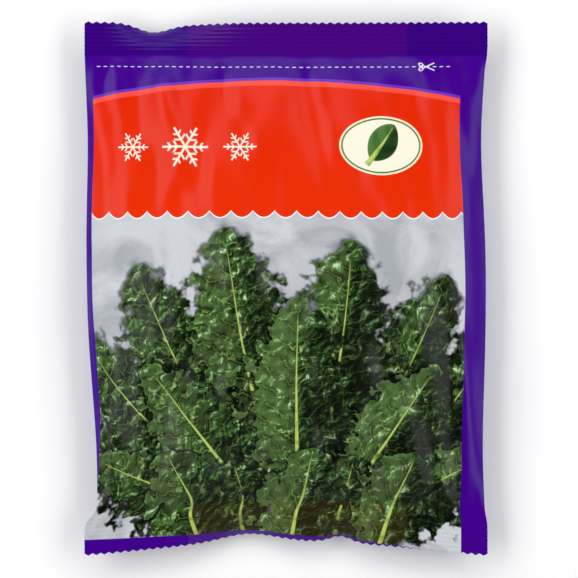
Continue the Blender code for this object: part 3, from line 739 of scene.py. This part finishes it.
def shown_film(web, material):
    """The printed bag, with its fin, as one object."""
    lower = np.linspace(-HALF_HEIGHT, -BOTTOM_LINE, round(BOTTOM_SEAL / SEAL_ROW) + 1)[:-1]
    belly = np.linspace(-BOTTOM_LINE, TOP_LINE, BELLY_ROWS + 1)
    upper = np.linspace(TOP_LINE, HALF_HEIGHT, round(TOP_SEAL / SEAL_ROW) + 1)[1:]
    y = np.concatenate([lower, belly, upper])
    x = np.linspace(-HALF_WIDTH, HALF_WIDTH, FILM_COLUMNS + 1)
    fine = film_places(web, x, y)

    # The knife's zigzag draws the last rows back towards the seal line
    tooth = np.abs(2 * ((x + HALF_WIDTH) / TOOTH_PITCH % 1) - 1)
    shorter = 1 - TOOTH_DEPTH * tooth / (SEAL_ROW * TOOTH_ROWS)
    for rim in (fine[:, ::-1], fine):
        last = rim[:, -TOOTH_ROWS - 1 :].copy()
        target = np.arange(TOOTH_ROWS + 1)[:, None] * shorter
        low = np.minimum(target.astype(int), TOOTH_ROWS - 1)
        part = (target - low)[..., None]
        column = np.arange(len(x))
        rim[:, -TOOTH_ROWS - 1 :] = last[:, low, column] * (1 - part) + last[:, low + 1, column] * part
    _, rows, columns, _ = fine.shape
    flat_x, flat_y = np.tile(x, 2 * rows), np.tile(np.repeat(y, columns), 2)
    layer = np.repeat([1.0, -1.0], rows * columns)

    # The fin hangs from the back's middle, and lies flat to one side
    fin_x = np.linspace(0, FIN_WIDTH, FIN_COLUMNS)
    fin_y = y[ROWS_PAST_FIN:-ROWS_PAST_FIN]
    fin_front = film_places(web, fin_x, fin_y)[1] - (0, 0, FIN_GAP)
    fin_back = fin_front - (0, 0, FIN_THICKNESS - FIN_GAP)
    fin = np.stack([fin_front, fin_back])
    places = np.concatenate([fine.reshape(-1, 3), fin.reshape(-1, 3)])

    # The side folds are one line of points shared by both faces
    count = rows * columns
    shared = np.arange(len(places))
    back = count + np.arange(0, count, columns)
    shared[back] = back - count
    shared[back + columns - 1] = back - count + columns - 1
    fin_faces = skin_faces(len(fin_y), len(fin_x), 2 * count)
    faces = np.concatenate([skin_faces(rows, columns), fin_faces])
    used, number = np.unique(shared, return_inverse=True)
    corners = number.reshape(-1)[faces]
    distinct = [list(dict.fromkeys(quad)) for quad in corners.tolist()]
    kept = [place for place, quad in enumerate(distinct) if len(quad) > 2]
    mesh = bpy.data.meshes.new("bag_film_printed")
    mesh.from_pydata(places[used].tolist(), [], [distinct[place] for place in kept])

    point_x = np.concatenate([flat_x, np.tile(FILM_WIDTH + fin_x, 2 * len(fin_y))])
    point_y = np.concatenate([flat_y, np.tile(np.repeat(fin_y, len(fin_x)), 2)])
    sides = np.concatenate([layer, np.repeat([1.0, -1.0], len(fin_y) * len(fin_x))])
    past = np.where(point_y < 0, -BOTTOM_LINE - point_y, point_y - TOP_LINE)
    left = HALF_HEIGHT - np.abs(point_y)
    for name, values in (("past_seal_line", past), ("left_to_cut", left), ("layer", sides)):
        attribute = mesh.attributes.new(name, "FLOAT", "POINT")
        attribute.data.foreach_set("value", values[used].astype(np.float32))

    # The web's own coordinates, in metres. The back's go on round the side folds, as far as the fin.
    face_quads = (rows - 1) * (columns - 1)
    u, v = [], []
    for place in kept:
        corner = used[distinct[place]]
        across = point_x[corner]
        if face_quads <= place < 2 * face_quads:
            across = math.copysign(FILM_WIDTH, across.mean()) - across
        u.extend(across)
        v.extend(point_y[corner])
    coordinates = np.stack([u, v], -1).astype(np.float32)
    mesh.uv_layers.new(name="web").data.foreach_set("uv", coordinates.ravel())
    made = bpy.data.objects.new("bag_film_printed", mesh)
    bpy.context.scene.collection.objects.link(made)
    baked(made, pressed_ribs(), {"Rib pitch": RIB_PITCH, "Rib height": RIB_HEIGHT, "Material": material})
    made.data.shade_smooth()
    made.data.set_sharp_from_angle(angle=math.radians(70))
    return made


film = shown_film(simulated_film(), film_material())
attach(film, "root")
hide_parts("bag_film")


# The contents: kale, washed, knife-cut, blanched and frozen piece by piece, loose in the bag.
# Each piece is a crinkled bit of leaf about 1 mm thick, some with a length of stalk, dusted with frost.

CRINKLE_HEIGHT = 0.0007
CRINKLE_LENGTH = 0.006


def crinkled_leaf():
    """Geometry Nodes tree that crinkles a bit of leaf, both faces alike."""
    sizes = dict.fromkeys(("Crinkle height", "Crinkle length"), "Float")
    inputs = {"Leaf": "Geometry"} | sizes | {"Material": "Material"}
    tree, given = interface("crinkled_leaf", "GeometryNodeTree", inputs, {"Leaf": "Geometry"})
    fine = add(tree, "GeometryNodeSubdivideMesh", given["Leaf"], 2)
    place = add(tree, "GeometryNodeInputPosition")
    density = add(tree, "ShaderNodeMath", 1.0, given["Crinkle length"], operation="DIVIDE")
    bumps = {"Vector": place, "Scale": density, "Detail": 2.0}
    noise = add(tree, "ShaderNodeTexNoise", named=bumps).node.outputs["Color"]
    centred = add(tree, "ShaderNodeVectorMath", noise, (0.5, 0.5, 0.5), operation="SUBTRACT")
    height = {"Scale": given["Crinkle height"]}
    offset = add(tree, "ShaderNodeVectorMath", centred, named=height, operation="SCALE")
    moved = add(tree, "GeometryNodeSetPosition", fine, named={"Offset": offset})
    real = add(tree, "GeometryNodeRealizeInstances", moved)
    finished = add(tree, "GeometryNodeSetMaterial", real, named={"Material": given["Material"]})
    add(tree, "NodeGroupOutput", finished)
    return tree


def frozen_leaf():
    """Dark blanched leaf, frozen wet. Leaf has an IOR of about 1.4, and its frost makes it pale and matt."""
    material = bpy.data.materials.new("frosted_kale")
    material.use_nodes = True
    tree = material.node_tree
    tree.nodes.clear()

    # Scales are per metre: blotches of 7 mm, and frost in grains of 1 mm
    place = add(tree, "ShaderNodeTexCoord").node.outputs["Object"]
    blotch = add(tree, "ShaderNodeTexNoise", named={"Vector": place, "Scale": 140.0, "Detail": 4.0})
    greens = {0: blotch, 6: hex_colour("1E3314"), 7: hex_colour("4B6B32")}
    leaf = add(tree, "ShaderNodeMix", named=greens, data_type="RGBA").node.outputs[2]
    grain = add(tree, "ShaderNodeTexNoise", named={"Vector": place, "Scale": 900.0, "Detail": 3.0})
    frost = add(tree, "ShaderNodeMapRange", grain, 0.52, 0.68, 0.0, 0.7)
    frosting = {0: frost, 6: leaf, 7: hex_colour("D8E2DC")}
    frosted = add(tree, "ShaderNodeMix", named=frosting, data_type="RGBA").node.outputs[2]
    shader = add(tree, "ShaderNodeBsdfPrincipled", frosted, named={"Roughness": 0.6, "IOR": 1.4})
    add(tree, "ShaderNodeOutputMaterial", shader)
    return material


leaf_material, leaf_tree = frozen_leaf(), crinkled_leaf()
crinkle = {"Crinkle height": CRINKLE_HEIGHT, "Crinkle length": CRINKLE_LENGTH, "Material": leaf_material}
for name in sorted(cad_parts):
    if not name.startswith("kale_cut"):
        continue
    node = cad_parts[name]
    mesh = node.data.copy()
    mesh.transform(node.matrix_world)
    bm = bmesh.new()
    bm.from_mesh(mesh)
    bmesh.ops.remove_doubles(bm, verts=bm.verts, dist=1e-6)
    bm.to_mesh(mesh)
    bm.free()
    leaf = bpy.data.objects.new(name.replace("kale_cut", "frozen_kale"), mesh)
    bpy.context.scene.collection.objects.link(leaf)
    baked(leaf, leaf_tree, crinkle)
    leaf.data.shade_smooth()
    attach(leaf, "root")
    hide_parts(name)


# The floor, a seamless sheet of matt white paper, isn't part of the object.

paper = bpy.data.materials.new("matt_white_paper")
paper.use_nodes = True
paper_shader = paper.node_tree.nodes["Principled BSDF"]
paper_shader.inputs["Base Color"].default_value = hex_colour("FCFCFD")
paper_shader.inputs["Roughness"].default_value = 0.9
bpy.ops.mesh.primitive_plane_add(size=6)
floor = bpy.context.object
floor.name = "floor"
floor.data.materials.append(paper)


# Plain studio light: a pale tent all round, dark only where the camera looks in, and three softboxes.
# The tent's opening is given by the heights of its blurred edge on a ball of radius 1.

OPENING = (0.70, 0.88)
TENT_GLOW = 0.45

# Place in metres, width, height and watts of each softbox
LIGHTS = (
    ("softbox_left", (-0.95, 0.1, 0.95), 0.7, 1.8, 11.8),
    ("softbox_right", (1.0, 0.0, 0.9), 0.7, 1.8, 9.6),
    ("softbox_far", (0.0, 1.15, 1.0), 1.8, 0.6, 7.0),
)
for name, place, width, height, power in LIGHTS:
    light = bpy.data.lights.new(name, "AREA")
    light.shape = "RECTANGLE"
    light.size, light.size_y, light.energy = width, height, power
    softbox = bpy.data.objects.new(name, light)
    back = Vector(place).normalized()
    up = Vector((0, 1, 0)) if place[0] else Vector((0, 0, 1))
    right = up.cross(back).normalized()
    turn = Matrix((right, back.cross(right), back)).transposed().to_4x4()
    softbox.matrix_world = Matrix.Translation(place) @ turn
    bpy.context.scene.collection.objects.link(softbox)

world = bpy.data.worlds.new("studio")
world.use_nodes = True
tent = world.node_tree
tent.nodes.clear()
around = add(tent, "ShaderNodeTexCoord").node.outputs["Generated"]
height = add(tent, "ShaderNodeSeparateXYZ", around).node.outputs["Z"]
glow = add(tent, "ShaderNodeMapRange", height, *OPENING, 1.0, 0.0, interpolation_type="SMOOTHSTEP")
dim = add(tent, "ShaderNodeMath", glow, TENT_GLOW, operation="MULTIPLY")
add(tent, "ShaderNodeOutputWorld", add(tent, "ShaderNodeBackground", hex_colour("FFFFFF"), dim))
bpy.context.scene.world = world
bpy.context.scene.view_settings.view_transform = "Standard"


# The camera hangs straight above the bag, as in the photograph.
# At the height of the bag's side folds its view is 272.5 mm wide.

VIEW_WIDTH = 0.2725
CAMERA_HEIGHT = 1.5
SENSOR_WIDTH = 36
camera_data = bpy.data.cameras.new("camera")
camera = bpy.data.objects.new("camera", camera_data)
camera_data.sensor_width = SENSOR_WIDTH
camera_data.lens = SENSOR_WIDTH * CAMERA_HEIGHT / VIEW_WIDTH
camera.location = (0.0014, -0.0002, CAMERA_HEIGHT + FOLD_HEIGHT)
bpy.context.scene.collection.objects.link(camera)
bpy.context.scene.camera = camera
